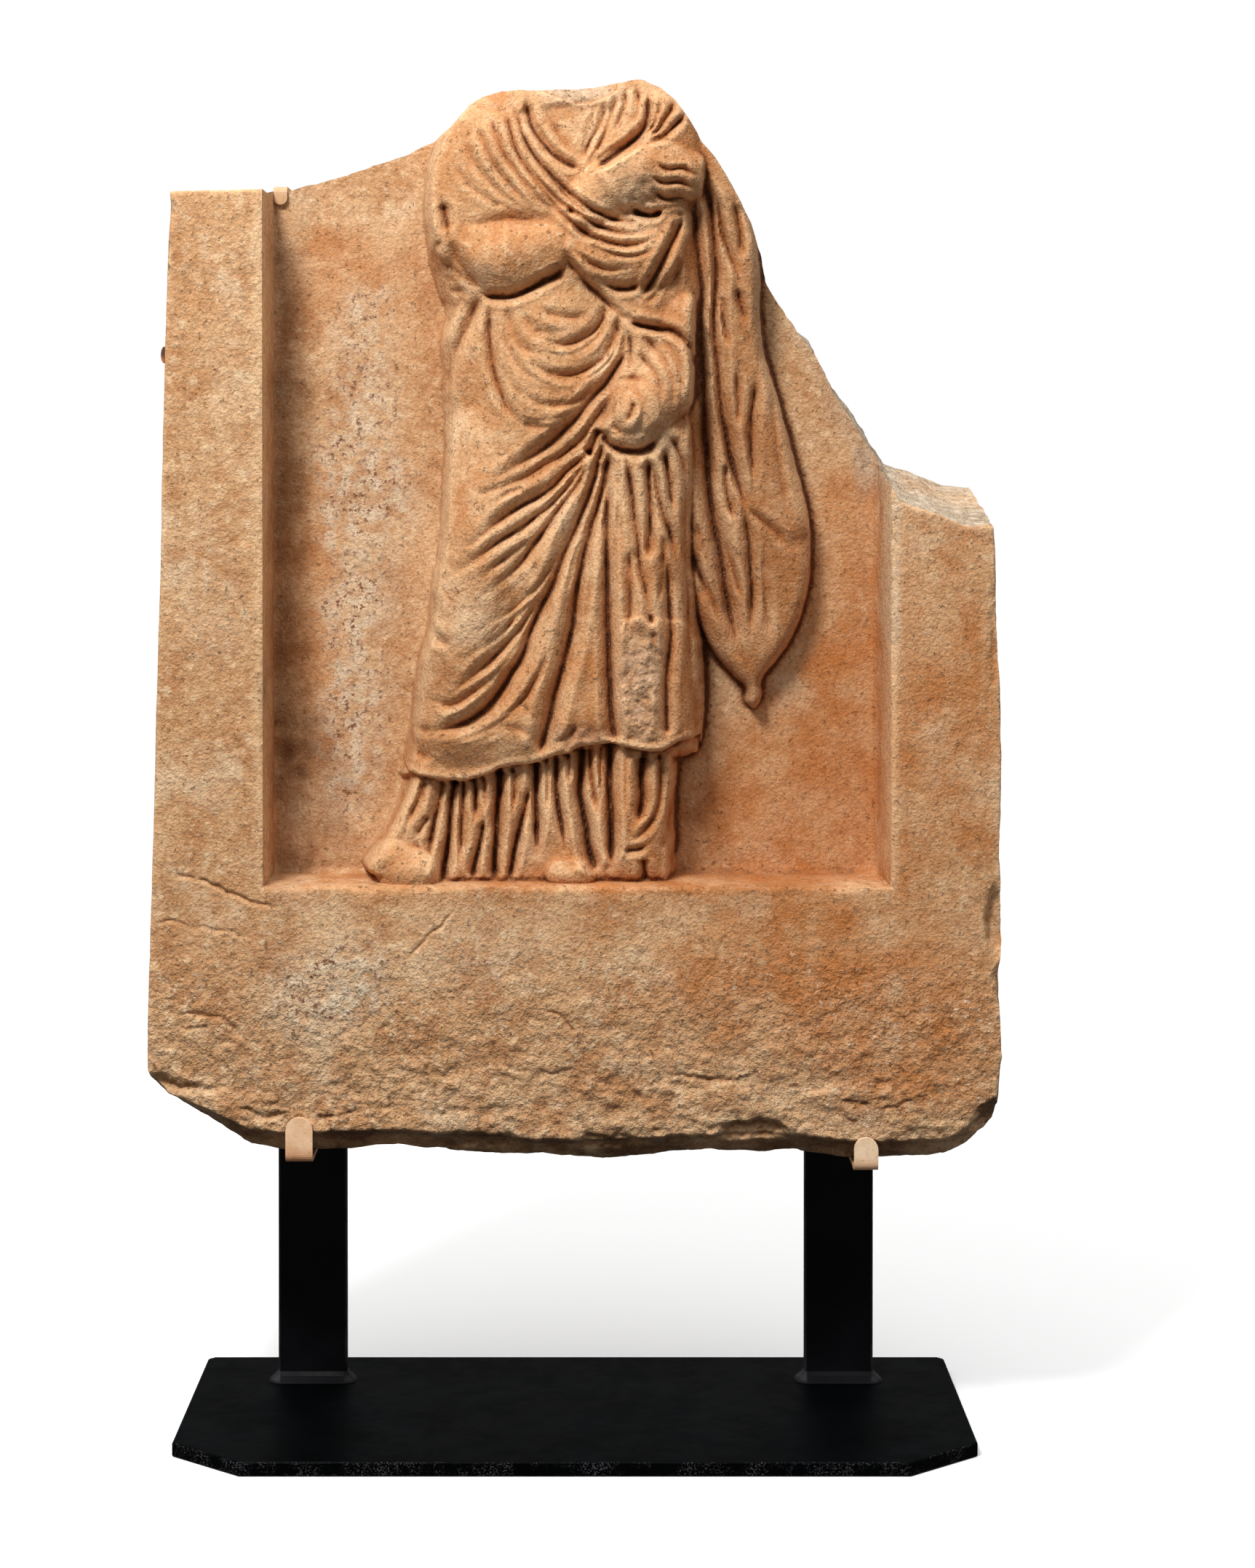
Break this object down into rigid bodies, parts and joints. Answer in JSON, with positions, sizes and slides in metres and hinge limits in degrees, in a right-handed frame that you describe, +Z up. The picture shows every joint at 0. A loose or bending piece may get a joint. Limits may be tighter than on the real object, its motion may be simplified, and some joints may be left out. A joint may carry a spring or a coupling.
{
  "type": "carved stone stele on a metal display stand",
  "caption": "Broken marble relief slab with a headless draped standing woman in a rectangular niche, held by hooks and clips on a flat black metal stand.",
  "frame": {"origin": "centre of the underside of the base plate", "axes": "+Z up, +X to the right as seen from the front, +Y into the stone, so the carved side faces -Y"},
  "size_m": [0.588, 0.245, 0.946],
  "materials": {
    "marble": "weathered fine-grained marble with tan and orange patina, dark dirt in the folds and grey-beige breaks",
    "black_paint": "satin near-black paint on steel",
    "beige_paint": "matt paint toned to the stone"
  },
  "bodies": {
    "root": {"stele": "marble", "base_plate": "black_paint", "left_upright": "black_paint", "right_upright": "black_paint", "lower_left_hook": "beige_paint", "lower_right_hook": "beige_paint", "top_clip": "beige_paint", "side_clip": "beige_paint"}
  },
  "joints": []
}
